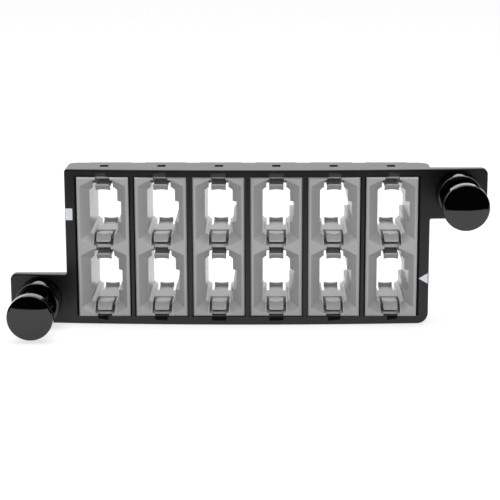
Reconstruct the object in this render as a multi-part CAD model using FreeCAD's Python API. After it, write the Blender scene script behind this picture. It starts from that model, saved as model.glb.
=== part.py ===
import FreeCAD, Part
import os
from math import hypot

from FreeCAD import Vector

os.makedirs("parts", exist_ok=True)

# Fibre cassette: one black moulded frame, six two-port adapters, two push-pull plungers.
# X runs along the row of ports, Z is up, Y runs backwards. Y = 0 is the seat on the panel,
# which is the back of the two tabs, and X = Z = 0 is midway between the two plungers.

# Frame
columns = 6
column_pitch = 16.0
side_rim = 3.42
mean_rim = 2.18
body_behind_seat = 7.7
crown_radius = 700.0
crown_above_adapters = 0.4
front_edge_round = 0.45
rear_corner_round = 3.2
low_right_round = 3.0
high_left_round = 0.9
latch_hole_start = 5.4
latch_hole_length = 2.9
latch_hole_width = 2.3
mullion_bevel = 0.35
outer_bevel = 0.7
finger_relief_height = 1.2
finger_relief_depth = 0.45
cutter_overrun = 1.0
overlap = 0.1

# Tabs
tab_reach = 15.96
tab_height = 14.07
tab_seat_thickness = 1.9
tab_corner_round = 1.8
tab_inner_round = 0.5
plunger_from_body = 7.71
plunger_from_edge = 6.9

# Adapters, as the pair of shells that is welded together
adapter_width = 14.28
adapter_height = 39.44
adapter_clearance = 0.1
adapter_rise = 0.18
face_to_seat = 4.6
flange_depth = 2.9
flange_edge_bevel = 0.3
ledge_width = 0.49
body_clearance = 0.15
body_height_clearance = 0.2
front_shell_depth = 13.2
rear_shell_depth = 13.8
rear_shell_width = 12.0
port_pitch = 19.5
peg_radius = 0.8
peg_length = 1.2
peg_spacing = 8.8
peg_clearance = 0.05

# Port mouth and tunnel
mouth_half_width = 6.2
mouth_side_half = 7.45
mouth_shoulder_x = 3.1
mouth_shoulder_z = 9.0
mouth_top = 9.45
mouth_lip = 0.15
tunnel_half_width = 3.85
tunnel_side_half = 5.95
tunnel_shoulder_x = 3.1
tunnel_shoulder_z = 6.65
tunnel_top = 6.8
rear_mouth_bevel = 0.8
key_depth = 1.1
key_height = 5.8

# Latch hooks inside each port
hook_width = 4.0
slit_width = 0.75
slit_top = 9.2
hook_gap_top = 9.3
front_slit_length = 10.1
rear_slit_length = 10.1
channel_depth = 2.5
arm_inside = 6.95
arm_outside = 8.12
hook_tip_z = 7.8
hook_inside = 6.0
hook_ramp_length = 2.5
hook_length = 3.1
hook_arch_radius = 6.0
hook_arch_rise = 0.3
hook_corner_round = 0.5
hook_root_depth = 0.3

# Snap tab on the top and bottom of each adapter
snap_width = 2.1
snap_gap = 0.3
snap_length = 2.3
snap_height = 0.75
snap_low_end = 0.15

# Grommets and plungers
collar_radius = 6.1
collar_height = 7.3
collar_edge_round = 0.6
collar_bore_radius = 4.45
collar_bore_depth = 5.2
collar_bore_bevel = 0.7
sleeve_radius = 3.1
sleeve_start = 0.1
sleeve_relief_radius = 2.75
shoulder_radius = 3.6
shoulder_clearance = 0.05
sleeve_length = 8.0
sleeve_nose_bevel = 0.4
sleeve_slot = 0.7
sleeve_slot_start = 1.0
sleeve_slot_turn = 45.0
spot_face_clearance = 0.15
head_radius = 6.28
head_thickness = 3.9
head_dome_radius = 27.0
head_edge_round = 0.7
neck_radius = 4.3
neck_length = 5.25
neck_end_round = 0.4
neck_fillet = 0.8
shank_radius = 2.3
shank_clearance = 0.05
shank_tip_bevel = 0.5
plunger_travel = 11.0
head_stop_gap = 0.3
shank_rest_depth = -0.5

# Index marks in the side rims, one beside each row of ports
mark_thickness = 0.25
mark_height_above_middle = 9.15
mark_square_width = 2.1
mark_square_height = 3.3
mark_arrow_length = 2.6
mark_arrow_height = 3.0
mark_arrow_from_edge = 0.3

# Sizes that follow from those above
window_width = adapter_width + 2 * adapter_clearance
window_height = adapter_height + 2 * adapter_clearance
body_half_width = (columns - 1) * column_pitch / 2 + window_width / 2 + side_rim
body_half_height = window_height / 2 + mean_rim
face_y = -face_to_seat
crown_y = face_y - crown_above_adapters
body_back_y = body_behind_seat
ledge_y = face_y + flange_depth + adapter_clearance
inner_window_width = window_width - 2 * ledge_width
shell_width = inner_window_width - 2 * body_clearance
shell_height = adapter_height - 2 * body_height_clearance
split_y = face_y + front_shell_depth
adapter_back_y = split_y + rear_shell_depth
tab_end_x = body_half_width + tab_reach
plunger_x = body_half_width + plunger_from_body
plunger_z = body_half_height - plunger_from_edge
spot_face_y = -tab_seat_thickness
collar_front_y = spot_face_y - collar_height
head_back_y = collar_front_y - head_stop_gap - plunger_travel
head_front_y = head_back_y - head_thickness


def front_of_frame(x):
    """Y of the crowned front face at a distance x from the middle."""
    return crown_y + crown_radius - (crown_radius ** 2 - x ** 2) ** 0.5


def box(x_range, y_range, z_range):
    """Solid block between two values on each axis."""
    size = [b - a for a, b in (x_range, y_range, z_range)]
    corner = Vector(x_range[0], y_range[0], z_range[0])
    return Part.makeBox(size[0], size[1], size[2], corner)


def around(half):
    """Range that lies evenly about zero."""
    return (-half, half)


def prism(points, direction):
    """Solid swept from the closed outline through the points."""
    return Part.Face(Part.makePolygon(points + points[:1])).extrude(direction)


def turned(profile, x, z):
    """Solid of revolution from (radius, y) points, on an axis along Y through x, z."""
    points = [Vector(radius, y, 0) for radius, y in profile]
    face = Part.Face(Part.makePolygon(points + points[:1]))
    solid = face.revolve(Vector(0, 0, 0), Vector(0, 1, 0), 360)
    return solid.translated(Vector(x, 0, z))


def edges_where(solid, test):
    """Edges whose middle point passes the test."""
    return [edge for edge in solid.Edges if test(edge)]


def on_circle(radius, y, x, z):
    """Test for the circular edges of one radius and depth about a plunger's axis."""
    def test(edge):
        if not isinstance(edge.Curve, Part.Circle):
            return False
        centre = edge.Curve.Center
        off_axis = hypot(centre.x - x, centre.z - z)
        return off_axis < 1e-4 and abs(edge.Curve.Radius - radius) < 1e-4 and abs(centre.y - y) < 1e-4
    return test


def half_turn(shape):
    """Copy turned by half a turn about Y, as the two ends of the frame are."""
    copy = shape.copy()
    copy.rotate(Vector(0, 0, 0), Vector(0, 1, 0), 180)
    return copy


# ---- Frame ----

def upright_edge_near(x, z):
    """Test for the edges along Y that stand at one corner of the outline."""
    def test(edge):
        ends = [vertex.Point for vertex in edge.Vertexes]
        if len(ends) != 2:
            return False
        return all(abs(p.x - x) < 0.01 and abs(p.z - z) < 0.01 for p in ends)
    return test


def low_tab():
    """Left tab, flush with the underside of the body."""
    low = -body_half_height
    tab = box((-tab_end_x, -body_half_width + side_rim / 2), (crown_y, 0), (low, low + tab_height))
    outer = edges_where(tab, upright_edge_near(-tab_end_x, low + tab_height))
    outer += edges_where(tab, upright_edge_near(-tab_end_x, low))
    return tab.makeFillet(tab_corner_round, outer)


def body_block():
    """Body without its windows, with the outline's corners rounded."""
    block = box(around(body_half_width), (crown_y, body_back_y), around(body_half_height))
    high_left = edges_where(block, upright_edge_near(-body_half_width, body_half_height))
    block = block.makeFillet(high_left_round, high_left)
    low_right = edges_where(block, upright_edge_near(body_half_width, -body_half_height))
    block = block.makeFillet(low_right_round, low_right)
    for side in (-1, 1):
        block = block.cut(rear_corner_cutter(side))
    return block


def rear_corner_cutter(side):
    """Waste outside the rounded rear corner at one end of the body."""
    inner_x = body_half_width - rear_corner_round
    inner_y = body_back_y - rear_corner_round
    tall = 2 * (body_half_height + cutter_overrun)
    waste = box((inner_x, body_half_width + cutter_overrun),
                (inner_y, body_back_y + cutter_overrun), around(tall / 2))
    kept = Part.makeCylinder(rear_corner_round, tall, Vector(inner_x, inner_y, -tall / 2))
    waste = waste.cut(kept)
    return waste if side > 0 else waste.mirror(Vector(0, 0, 0), Vector(1, 0, 0))


def crown_keeper():
    """Large round bar whose skin is the crowned front face."""
    length = 2 * (body_half_height + cutter_overrun)
    base = Vector(0, crown_y + crown_radius, -length / 2)
    return Part.makeCylinder(crown_radius, length, base)


def inner_corner_fillet():
    """Small web in the corner where the low tab meets the side of the body."""
    corner_x = -body_half_width
    corner_z = -body_half_height + tab_height
    r = tab_inner_round
    web = box((corner_x - r, corner_x), (crown_y, 0), (corner_z, corner_z + r))
    start = Vector(corner_x - r, crown_y - cutter_overrun, corner_z + r)
    bore = Part.makeCylinder(r, 2 * cutter_overrun - crown_y, start, Vector(0, 1, 0))
    return web.cut(bore)


def window_cutter(column):
    """Stepped opening for one adapter, with a ledge that the flange rests on."""
    x = column_x(column)
    half = window_width / 2
    left_bevel = outer_bevel if column == 0 else mullion_bevel
    right_bevel = outer_bevel if column == columns - 1 else mullion_bevel
    left_y = front_of_frame(x - half)
    right_y = front_of_frame(x + half)
    low = adapter_rise - window_height / 2
    before = cutter_overrun
    points = [
        Vector(x - half - left_bevel - before, left_y - before, low),
        Vector(x + half + right_bevel + before, right_y - before, low),
        Vector(x + half, right_y + right_bevel, low),
        Vector(x + half, ledge_y, low),
        Vector(x + inner_window_width / 2, ledge_y, low),
        Vector(x + inner_window_width / 2, body_back_y + cutter_overrun, low),
        Vector(x - inner_window_width / 2, body_back_y + cutter_overrun, low),
        Vector(x - inner_window_width / 2, ledge_y, low),
        Vector(x - half, ledge_y, low),
        Vector(x - half, left_y + left_bevel, low),
    ]
    return prism(points, Vector(0, 0, window_height))


def latch_hole_cutter(column):
    """Small holes through the top and bottom walls for one adapter's snap tabs."""
    half = latch_hole_width / 2
    start = face_y + latch_hole_start
    tall = body_half_height + cutter_overrun
    hole = box((-half, half), (start, start + latch_hole_length), (0, tall))
    both = hole.fuse(hole.mirror(Vector(0, 0, 0), Vector(0, 0, 1)))
    return both.translated(Vector(column_x(column), 0, 0))


def finger_relief_cutter(column):
    """Shallow ramps in the rims above and below one adapter."""
    x = column_x(column)
    left = -hook_width / 2
    front = front_of_frame(x) - overlap / 2
    inner = window_height / 2
    points = [
        Vector(left, front, inner - overlap),
        Vector(left, front, inner + finger_relief_height),
        Vector(left, front + finger_relief_depth, inner),
        Vector(left, front + finger_relief_depth, inner - overlap),
    ]
    ramp = prism(points, Vector(hook_width, 0, 0))
    both = ramp.fuse(ramp.mirror(Vector(0, 0, 0), Vector(0, 0, 1)))
    return both.translated(Vector(x, 0, adapter_rise))


def plunger_hole_cutter():
    """Spot face and through hole for the low grommet."""
    start = Vector(-plunger_x, collar_front_y, -plunger_z)
    along = Vector(0, 1, 0)
    seat = Part.makeCylinder(collar_radius + spot_face_clearance, collar_height, start, along)
    through = cutter_overrun - collar_front_y
    hole = Part.makeCylinder(shoulder_radius + shoulder_clearance, through, start, along)
    return seat.fuse(hole)


def front_outline_edges(solid):
    """Outer edges of the crowned front face."""
    def test(edge):
        on_front = all(abs(v.Point.y - front_of_frame(v.Point.x)) < 0.01 for v in edge.Vertexes)
        middle = edge.valueAt((edge.FirstParameter + edge.LastParameter) / 2)
        return on_front and abs(middle.y - front_of_frame(middle.x)) < 0.01
    return edges_where(solid, test)


def column_x(column):
    """X of the middle of one column of ports."""
    return (column - (columns - 1) / 2) * column_pitch


def square_mark():
    """White square beside the upper row, at the left edge."""
    front = front_of_frame(-body_half_width) - cutter_overrun
    back = front_of_frame(-body_half_width + mark_square_width) + mark_thickness
    left = -body_half_width
    middle = adapter_rise + mark_height_above_middle
    return box((left, left + mark_square_width), (front, back),
               (middle - mark_square_height / 2, middle + mark_square_height / 2))


def arrow_mark():
    """White arrow head beside the lower row, pointing at the ports."""
    base_x = body_half_width - mark_arrow_from_edge
    tip_x = base_x - mark_arrow_length
    front = front_of_frame(body_half_width) - cutter_overrun
    depth = front_of_frame(base_x) + mark_thickness - front
    middle = adapter_rise - mark_height_above_middle
    points = [
        Vector(tip_x, front, middle),
        Vector(base_x, front, middle + mark_arrow_height / 2),
        Vector(base_x, front, middle - mark_arrow_height / 2),
    ]
    return prism(points, Vector(0, depth, 0))


def make_frame_and_marks():
    """Frame with its two inlaid marks, which share its crowned face."""
    tab = low_tab().fuse(inner_corner_fillet())
    solid = body_block().fuse([tab, half_turn(tab)]).removeSplitter()
    solid = solid.common(crown_keeper())
    solid = solid.makeFillet(front_edge_round, front_outline_edges(solid))
    holes = [plunger_hole_cutter(), half_turn(plunger_hole_cutter())]
    for column in range(columns):
        holes += [window_cutter(column), latch_hole_cutter(column), finger_relief_cutter(column)]
    solid = solid.cut(holes)
    marks = {}
    for name, cutter in (("square_mark", square_mark()), ("arrow_mark", arrow_mark())):
        marks[name] = solid.common(cutter)
        solid = solid.cut(cutter)
    return solid, marks


# ---- Adapters ----

def port_outline(y, half_width, side_half, shoulder_x, shoulder_z, top, grow=0.0):
    """Eight-sided outline of a port, with a slightly arched top and bottom."""
    w = half_width + grow
    s = side_half + grow / 2
    sx = shoulder_x
    sz = shoulder_z + grow
    t = top + grow

    def point(x, z):
        return Vector(x, y, z)

    edges = []
    for sign in (1, -1):
        edges.append(Part.makeLine(point(sign * w, -sign * s), point(sign * w, sign * s)))
        edges.append(Part.makeLine(point(sign * w, sign * s), point(sign * sx, sign * sz)))
        arch = Part.Arc(point(sign * sx, sign * sz), point(0, sign * t), point(-sign * sx, sign * sz))
        edges.append(arch.toShape())
        edges.append(Part.makeLine(point(-sign * sx, sign * sz), point(-sign * w, sign * s)))
    return Part.Wire(edges)


def mouth_outline(y, grow=0.0):
    """Wide outline at the front of a port."""
    return port_outline(y, mouth_half_width, mouth_side_half, mouth_shoulder_x,
                        mouth_shoulder_z, mouth_top, grow)


def tunnel_outline(y, grow=0.0):
    """Narrow outline that guides the plug."""
    return port_outline(y, tunnel_half_width, tunnel_side_half, tunnel_shoulder_x,
                        tunnel_shoulder_z, tunnel_top, grow)


def tunnel_prism(y_start, y_end):
    """Straight length of tunnel."""
    return Part.Face(tunnel_outline(y_start)).extrude(Vector(0, y_end - y_start, 0))


def key_slot(y_start, y_end):
    """Slot in the right-hand wall for the plug's key."""
    return box((0, tunnel_half_width + key_depth), (y_start, y_end), around(key_height / 2))


def hook_bay(y_start, y_end):
    """Room around the two latch arms of a port: slits at the sides and a gap outside."""
    slits = box(around(hook_width / 2 + slit_width), (y_start, y_end), around(slit_top))
    gap = box(around(hook_width / 2), (y_start, y_end), around(hook_gap_top))
    return slits.fuse(gap)


def latch_hook(tip_y, root_y):
    """Upper latch arm of a port, with its tip at tip_y and its root sunk into the shell."""
    way = 1 if root_y > tip_y else -1
    left = -hook_width / 2
    profile = [
        (0, arm_outside),
        (0, hook_tip_z),
        (hook_ramp_length, hook_inside),
        (hook_length, hook_inside),
        (hook_length, arm_inside),
        (abs(root_y - tip_y), arm_inside),
        (abs(root_y - tip_y), arm_outside),
    ]
    points = [Vector(left, tip_y + way * run, z) for run, z in profile]
    arm = prism(points, Vector(hook_width, 0, 0))
    arch_centre = hook_inside + hook_arch_rise - hook_arch_radius
    arch = Part.makeCylinder(hook_arch_radius, 2 * hook_length,
                             Vector(0, tip_y - hook_length, arch_centre), Vector(0, 1, 0))
    arm = arm.cut(arch)
    corners = edges_where(arm, outer_tip_corner(tip_y))
    return arm.makeFillet(hook_corner_round, corners)


def outer_tip_corner(tip_y):
    """Test for the long outer corners of a latch arm."""
    def test(edge):
        ends = [vertex.Point for vertex in edge.Vertexes]
        if len(ends) != 2 or abs(ends[0].y - ends[1].y) < hook_length:
            return False
        return all(abs(abs(p.x) - hook_width / 2) < 1e-4 and abs(p.z - arm_outside) < 1e-4 for p in ends)
    return test


def both_hooks(tip_y, root_y):
    """Upper and lower latch arms of one port."""
    upper = latch_hook(tip_y, root_y)
    return [upper, upper.mirror(Vector(0, 0, 0), Vector(0, 0, 1))]


def at_both_ports(shapes):
    """Copies of one port's shapes at the upper and the lower port."""
    placed = []
    for side in (1, -1):
        placed += [shape.translated(Vector(0, 0, side * port_pitch / 2)) for shape in shapes]
    return placed


def snap_tab():
    """Ramp on the top of the shell that clicks into the frame's latch hole."""
    start = face_y + latch_hole_start + snap_gap
    base = shell_height / 2
    points = [
        Vector(-snap_width / 2, start, base - overlap),
        Vector(-snap_width / 2, start, base + snap_height),
        Vector(-snap_width / 2, start + snap_length, base + snap_low_end),
        Vector(-snap_width / 2, start + snap_length, base - overlap),
    ]
    tab = prism(points, Vector(snap_width, 0, 0))
    return [tab, tab.mirror(Vector(0, 0, 0), Vector(0, 0, 1))]


def pegs(radius, length):
    """Two locating pegs between the ports, on the split plane, pointing forwards."""
    return [Part.makeCylinder(radius, length, Vector(side * peg_spacing / 2, split_y, 0), Vector(0, -1, 0))
            for side in (1, -1)]


def make_front_shell():
    """Front half of an adapter, with the flange and the two flared mouths."""
    flange = box(around(adapter_width / 2), (face_y, face_y + flange_depth), around(adapter_height / 2))
    rim = edges_where(flange, lambda edge: all(abs(v.Point.y - face_y) < 1e-6 for v in edge.Vertexes))
    flange = flange.makeChamfer(flange_edge_bevel, rim)
    body = box(around(shell_width / 2), (face_y + flange_depth / 2, split_y), around(shell_height / 2))
    solid = flange.fuse([body] + snap_tab()).removeSplitter()
    lip_y = face_y + mouth_lip
    lip = Part.makeLoft([mouth_outline(face_y, mouth_lip), mouth_outline(lip_y)], True, True)
    mouth = Part.makeLoft([mouth_outline(lip_y), tunnel_outline(face_y + flange_depth)], True, True)
    cuts = [
        lip,
        mouth,
        tunnel_prism(face_y + flange_depth, split_y),
        key_slot(face_y, split_y),
        hook_bay(face_y, face_y + front_slit_length),
    ]
    channel = box(around(hook_width / 2), (face_y, face_y + channel_depth), around(adapter_height / 2))
    holes = pegs(peg_radius + peg_clearance, peg_length + peg_clearance)
    solid = solid.cut(at_both_ports(cuts) + [channel] + holes)
    root_y = face_y + front_slit_length + hook_root_depth
    return solid.fuse(at_both_ports(both_hooks(face_y, root_y))).removeSplitter()


def make_rear_shell():
    """Rear half of an adapter, which stands out behind the frame."""
    solid = box(around(rear_shell_width / 2), (split_y, adapter_back_y), around(shell_height / 2))
    solid = solid.fuse(pegs(peg_radius, peg_length)).removeSplitter()
    bevel_y = adapter_back_y - rear_mouth_bevel
    sections = [tunnel_outline(bevel_y), tunnel_outline(adapter_back_y, rear_mouth_bevel)]
    mouth = Part.makeLoft(sections, True, True)
    cuts = [
        mouth,
        tunnel_prism(split_y, adapter_back_y),
        key_slot(split_y, adapter_back_y),
        hook_bay(adapter_back_y - rear_slit_length, adapter_back_y),
    ]
    solid = solid.cut(at_both_ports(cuts))
    root_y = adapter_back_y - rear_slit_length - hook_root_depth
    return solid.fuse(at_both_ports(both_hooks(adapter_back_y, root_y))).removeSplitter()


# ---- Grommets and plungers ----

def make_grommet(x, z):
    """Collar on the front of a tab, with a split sleeve that goes through the panel."""
    floor_y = collar_front_y + collar_bore_depth
    bore = shank_radius + shank_clearance
    profile = [
        (collar_bore_radius, collar_front_y + collar_bore_bevel),
        (collar_bore_radius + collar_bore_bevel, collar_front_y),
        (collar_radius, collar_front_y),
        (collar_radius, spot_face_y),
        (shoulder_radius, spot_face_y),
        (shoulder_radius, 0),
        (sleeve_relief_radius, 0),
        (sleeve_relief_radius, sleeve_start),
        (sleeve_radius, sleeve_start),
        (sleeve_radius, sleeve_length - sleeve_nose_bevel),
        (sleeve_radius - sleeve_nose_bevel, sleeve_length),
        (bore, sleeve_length),
        (bore, floor_y),
        (collar_bore_radius, floor_y),
    ]
    solid = turned(profile, x, z)
    rims = edges_where(solid, on_circle(collar_radius, collar_front_y, x, z))
    solid = solid.makeFillet(collar_edge_round, rims)
    slot_y = (sleeve_slot_start, sleeve_length + cutter_overrun)
    across = around(sleeve_radius + cutter_overrun)
    slots = box(around(sleeve_slot / 2), slot_y, across).fuse(box(across, slot_y, around(sleeve_slot / 2)))
    slots.rotate(Vector(0, 0, 0), Vector(0, 1, 0), sleeve_slot_turn)
    return solid.cut(slots.translated(Vector(x, 0, z)))


def make_plunger(x, z):
    """Round knob and its shank, pulled out to the released position."""
    neck_end_y = head_back_y + neck_length
    profile = [
        (0, head_front_y),
        (head_radius, head_front_y),
        (head_radius, head_back_y),
        (neck_radius, head_back_y),
        (neck_radius, neck_end_y),
        (shank_radius, neck_end_y),
        (shank_radius, shank_rest_depth - shank_tip_bevel),
        (shank_radius - shank_tip_bevel, shank_rest_depth),
        (0, shank_rest_depth),
    ]
    solid = turned(profile, x, z)
    dome = Part.makeSphere(head_dome_radius, Vector(x, head_front_y + head_dome_radius, z))
    front = Part.makeCylinder(head_radius + cutter_overrun, head_thickness,
                              Vector(x, head_front_y, z), Vector(0, 1, 0))
    solid = solid.cut(front.cut(dome)).removeSplitter()
    sag = head_dome_radius - (head_dome_radius ** 2 - head_radius ** 2) ** 0.5
    rounds = [
        (head_edge_round, head_radius, head_front_y + sag),
        (head_edge_round / 2, head_radius, head_back_y),
        (neck_end_round, neck_radius, neck_end_y),
        (neck_fillet, neck_radius, head_back_y),
    ]
    for size, radius, y in rounds:
        solid = solid.makeFillet(size, edges_where(solid, on_circle(radius, y, x, z)))
    return solid


# ---- Whole cassette ----

def make_all():
    """Every piece of the cassette by its name."""
    frame, pieces = make_frame_and_marks()
    pieces["frame"] = frame
    front_shell = make_front_shell()
    rear_shell = make_rear_shell()
    for column in range(columns):
        place = Vector(column_x(column), 0, adapter_rise)
        pieces["adapter_%d_front_shell" % (column + 1)] = front_shell.translated(place)
        pieces["adapter_%d_rear_shell" % (column + 1)] = rear_shell.translated(place)
    for name, side in (("left", -1), ("right", 1)):
        pieces[name + "_grommet"] = make_grommet(side * plunger_x, side * plunger_z)
        pieces[name + "_plunger"] = make_plunger(side * plunger_x, side * plunger_z)
    return pieces


for name, shape in make_all().items():
    solids = shape.Solids
    assert solids and all(solid.isValid() for solid in solids), name
    piece = solids[0] if len(solids) == 1 else Part.makeCompound(solids)
    piece.exportStep("parts/%s.step" % name)
    print("%-24s %d solid, %.2f mm3" % (name, len(solids), piece.Volume))
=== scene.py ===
import math

import bmesh
import bpy
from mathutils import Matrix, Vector


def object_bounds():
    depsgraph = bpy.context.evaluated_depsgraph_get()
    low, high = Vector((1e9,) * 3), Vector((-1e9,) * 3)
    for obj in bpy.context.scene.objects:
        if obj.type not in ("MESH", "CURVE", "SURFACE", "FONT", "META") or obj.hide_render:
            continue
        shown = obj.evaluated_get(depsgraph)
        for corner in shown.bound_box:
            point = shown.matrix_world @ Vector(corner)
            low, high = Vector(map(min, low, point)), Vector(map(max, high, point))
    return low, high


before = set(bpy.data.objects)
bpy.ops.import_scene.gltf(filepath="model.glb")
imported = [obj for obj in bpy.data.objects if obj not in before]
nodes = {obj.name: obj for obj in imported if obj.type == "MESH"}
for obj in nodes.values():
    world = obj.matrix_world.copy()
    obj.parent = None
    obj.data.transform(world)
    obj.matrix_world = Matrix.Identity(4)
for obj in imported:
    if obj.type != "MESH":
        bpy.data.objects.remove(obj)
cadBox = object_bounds()


# shader maths: a wrapped socket that adds its own nodes when it is used in an expression
class Signal:
    def __init__(self, maker, socket):
        self.maker = maker
        self.socket = socket

    def join(self, operation, first, second):
        made = self.maker.node("ShaderNodeMath", {"operation": operation}, {0: first, 1: second})
        return Signal(self.maker, made.outputs[0])

    def __add__(self, other):
        return self.join("ADD", self, other)

    def __radd__(self, other):
        return self.join("ADD", other, self)

    def __sub__(self, other):
        return self.join("SUBTRACT", self, other)

    def __rsub__(self, other):
        return self.join("SUBTRACT", other, self)

    def __mul__(self, other):
        return self.join("MULTIPLY", self, other)

    def __rmul__(self, other):
        return self.join("MULTIPLY", other, self)

    def atLeast(self, other):
        return self.join("MAXIMUM", self, other)


class Maker:
    def __init__(self, owner, outputKind="ShaderNodeOutputMaterial"):
        self.owner = owner
        owner.use_nodes = True
        self.tree = owner.node_tree
        self.tree.nodes.clear()
        self.output = self.tree.nodes.new(outputKind)

    # any node, with its settings first and then its sockets
    def node(self, kind, settings=None, sockets=None):
        made = self.tree.nodes.new(kind)
        for key, value in (settings or {}).items():
            setattr(made, key, value)
        for key, value in (sockets or {}).items():
            if isinstance(value, Signal):
                value = value.socket
            if isinstance(value, bpy.types.NodeSocket):
                self.tree.links.new(value, made.inputs[key])
            else:
                made.inputs[key].default_value = value
        return made

    def signal(self, kind, output, settings=None, sockets=None):
        return Signal(self, self.node(kind, settings, sockets).outputs[output])

    def place(self):
        return self.node("ShaderNodeTexCoord").outputs["Object"]

    def noise(self, perMetre, detail, rough):
        return self.signal("ShaderNodeTexNoise", "Fac", None, {
            "Vector": self.place(), "Scale": perMetre, "Detail": detail, "Roughness": rough})

    def mixColour(self, mask, first, second):
        return self.signal("ShaderNodeMix", 2, {"data_type": "RGBA"}, {
            0: mask, 6: (*first, 1), 7: (*second, 1)})

    def bump(self, height, distance):
        return self.signal("ShaderNodeBump", 0, None, {"Height": height, "Distance": distance})

    def finish(self, shader):
        self.tree.links.new(shader, self.output.inputs["Surface"])
        return self.owner


# each noise in a finish is its scale per metre, its detail and its roughness
frameFinish = {
    "dark": (0.0028, 0.0028, 0.0026),
    "pale": (0.0048, 0.0047, 0.0045),
    "roughness": 0.34,
    "roughnessSpread": 0.06,
    "grainSpread": 0.05,
    "flow": (90.0, 3.0, 0.55),
    "grain": (5200.0, 2.0, 0.6),
    "grainHeight": 0.000006,
    "ior": 1.5,
}


def satinBlack(name, look):
    m = Maker(bpy.data.materials.new(name))
    grain = m.noise(*look["grain"])
    flow = m.noise(*look["flow"])
    colour = m.mixColour(flow, look["dark"], look["pale"])
    roughness = look["roughness"] + (flow - 0.5) * look["roughnessSpread"]
    roughness = roughness + (grain - 0.5) * look["grainSpread"]
    shader = m.node("ShaderNodeBsdfPrincipled", None, {
        "Base Color": colour, "Roughness": roughness, "IOR": look["ior"],
        "Normal": m.bump(grain, look["grainHeight"])})
    return m.finish(shader.outputs[0])


adapterFinish = {
    "shade": (0.365, 0.365, 0.373),
    "light": (0.405, 0.405, 0.412),
    "roughness": 0.22,
    "roughnessSpread": 0.12,
    "flow": (140.0, 4.0, 0.6),
    "grain": (4200.0, 2.0, 0.5),
    "grainHeight": 0.000005,
    "ior": 1.5,
}


def greyMoulding(name, look):
    m = Maker(bpy.data.materials.new(name))
    flow = m.noise(*look["flow"])
    grain = m.noise(*look["grain"])
    colour = m.mixColour(flow, look["shade"], look["light"])
    roughness = look["roughness"] + (flow - 0.5) * look["roughnessSpread"]
    shader = m.node("ShaderNodeBsdfPrincipled", None, {
        "Base Color": colour, "Roughness": roughness, "IOR": look["ior"],
        "Normal": m.bump(grain, look["grainHeight"])})
    return m.finish(shader.outputs[0])


knobFinish = {
    "dark": (0.0008, 0.0008, 0.0008),
    "pale": (0.0014, 0.0014, 0.0015),
    "roughness": 0.05,
    "roughnessSpread": 0.04,
    "ripple": (260.0, 2.0, 0.4),
    "rippleHeight": 0.00001,
    "ior": 1.58,
}


def glossyNylon(name, look):
    m = Maker(bpy.data.materials.new(name))
    ripple = m.noise(*look["ripple"])
    colour = m.mixColour(ripple, look["dark"], look["pale"])
    roughness = look["roughness"] + (ripple - 0.5) * look["roughnessSpread"]
    shader = m.node("ShaderNodeBsdfPrincipled", None, {
        "Base Color": colour, "Roughness": roughness, "IOR": look["ior"],
        "Normal": m.bump(ripple, look["rippleHeight"])})
    return m.finish(shader.outputs[0])


markFinish = {
    "thin": (0.66, 0.71, 0.78),
    "full": (0.80, 0.84, 0.90),
    "roughness": 0.5,
    "roughnessSpread": 0.1,
    "speck": (3000.0, 3.0, 0.6),
    "speckHeight": 0.000004,
}


def whitePrint(name, look):
    m = Maker(bpy.data.materials.new(name))
    speck = m.noise(*look["speck"])
    colour = m.mixColour(speck, look["thin"], look["full"])
    roughness = look["roughness"] + (speck - 0.5) * look["roughnessSpread"]
    shader = m.node("ShaderNodeBsdfPrincipled", None, {
        "Base Color": colour, "Roughness": roughness,
        "Normal": m.bump(speck, look["speckHeight"])})
    return m.finish(shader.outputs[0])


def dress(names, material):
    for name in names:
        for slot in nodes[name].material_slots:
            slot.material = material


dress(["frame"], satinBlack("satinBlackMoulding", frameFinish))
adapterShells = [name for name in nodes if name.startswith("adapter")]
dress(adapterShells, greyMoulding("greyMoulding", adapterFinish))
knobPlastic = glossyNylon("glossyBlackNylon", knobFinish)
dress([name for name in nodes if name.endswith(("plunger", "grommet"))], knobPlastic)
dress(["square_mark", "arrow_mark"], whitePrint("whitePrint", markFinish))
print("materials done")


# studio: a pale floor, a white background, a dim room in front, one lamp above and one in front
studio = {
    "floorFront": -0.175,
    "floorBack": 1.6,
    "floorSide": 1.6,
    "floorGlow": 0.66,
    "floorColour": 0.5,
    "frontFill": 0.18,
    "backFill": 1.7,
    "frontShine": 0.0,
    "backShine": 1.7,
    "turnStart": 0.0,
    "turnEnd": 0.45,
    "topPlace": (0.0, -0.02, 0.7),
    "topSize": (0.8, 0.3),
    "topPower": 2.8,
    "facePlace": (0.05, -1.15, 0.2),
    "faceSize": (0.7, 0.7),
    "facePower": 9.0,
    "lampAim": (0.0, 0.0, 0.0),
}


def seenPlainly(m):
    path = m.node("ShaderNodeLightPath")
    direct, through, shiny = [Signal(m, path.outputs["Is " + kind + " Ray"])
                              for kind in ("Camera", "Transmission", "Glossy")]
    return direct.atLeast(through), shiny


def paleFloor(look):
    m = Maker(bpy.data.materials.new("paleFloor"))
    seen, shiny = seenPlainly(m)
    glow = m.node("ShaderNodeEmission", None, {"Strength": seen.atLeast(shiny) * look["floorGlow"]})
    grey = look["floorColour"]
    matt = m.node("ShaderNodeBsdfDiffuse", None, {"Color": (grey, grey, grey, 1)})
    both = m.node("ShaderNodeAddShader", None, {0: glow.outputs[0], 1: matt.outputs[0]})
    return m.finish(both.outputs[0])


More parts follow.
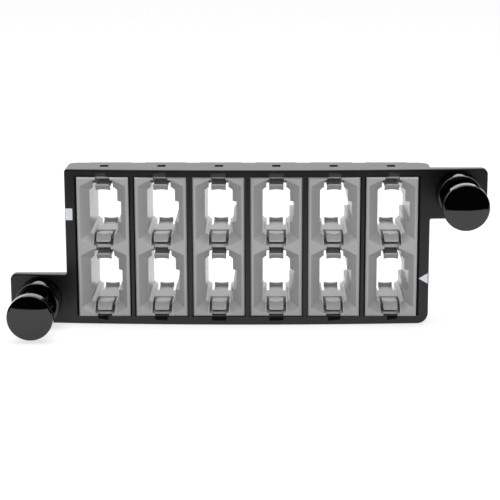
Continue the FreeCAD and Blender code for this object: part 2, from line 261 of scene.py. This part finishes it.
def makeFloor(look):
    low = cadBox[0].z
    mesh = bpy.data.meshes.new("floor")
    bm = bmesh.new()
    corners = [(-look["floorSide"], look["floorFront"]), (look["floorSide"], look["floorFront"]),
               (look["floorSide"], look["floorBack"]), (-look["floorSide"], look["floorBack"])]
    bm.faces.new([bm.verts.new((x, y, low)) for x, y in corners])
    bm.to_mesh(mesh)
    bm.free()
    floor = bpy.data.objects.new("floor", mesh)
    bpy.context.collection.objects.link(floor)
    floor.data.materials.append(paleFloor(look))


# white to the camera, bright behind the object and dim in front of it
def makeWorld(look):
    world = bpy.data.worlds.new("studioWorld")
    bpy.context.scene.world = world
    m = Maker(world, "ShaderNodeOutputWorld")
    seen, shiny = seenPlainly(m)
    way = m.node("ShaderNodeSeparateXYZ", None, {0: m.node("ShaderNodeTexCoord").outputs["Generated"]})
    behind = m.signal("ShaderNodeMapRange", 0, {"interpolation_type": "SMOOTHSTEP"}, {
        "Value": way.outputs["Y"], "From Min": look["turnStart"], "From Max": look["turnEnd"]})
    shine = look["frontShine"] + behind * (look["backShine"] - look["frontShine"])
    fill = look["frontFill"] + behind * (look["backFill"] - look["frontFill"])
    level = fill + shiny * (shine - fill)
    level = level + seen * (1 - level)
    background = m.node("ShaderNodeBackground", None, {"Strength": level})
    m.finish(background.outputs[0])


def softLamp(name, place, size, power, shiny=True):
    data = bpy.data.lights.new(name, "AREA")
    data.shape = "RECTANGLE"
    data.size, data.size_y = size
    data.energy = power
    lamp = bpy.data.objects.new(name, data)
    bpy.context.collection.objects.link(lamp)
    lamp.location = place
    way = Vector(studio["lampAim"]) - Vector(place)
    lamp.rotation_euler = way.to_track_quat("-Z", "Y").to_euler()
    lamp.visible_glossy = shiny


camera = {
    "lens": 119.95,
    "aim": (0.00707, -0.0046, -0.000505),
    "distance": 0.46283,
    "pitch": 12.735,
    "shiftX": -0.0459,
    "sensorWidth": 36.0,
    "clipStart": 0.01,
}


def makeCamera(look):
    data = bpy.data.cameras.new("camera")
    data.lens = look["lens"]
    data.sensor_width = look["sensorWidth"]
    data.shift_x = look["shiftX"]
    data.clip_start = look["clipStart"]
    eye = bpy.data.objects.new("camera", data)
    bpy.context.collection.objects.link(eye)
    pitch = math.radians(look["pitch"])
    back = Vector((0, -math.cos(pitch), math.sin(pitch))) * look["distance"]
    eye.location = Vector(look["aim"]) + back
    eye.rotation_euler = (math.pi / 2 - pitch, 0, 0)
    bpy.context.scene.camera = eye


makeFloor(studio)
makeWorld(studio)
softLamp("topLamp", studio["topPlace"], studio["topSize"], studio["topPower"])
softLamp("faceLamp", studio["facePlace"], studio["faceSize"], studio["facePower"], shiny=False)
makeCamera(camera)
bpy.context.scene.view_settings.view_transform = "Standard"
print("studio done")
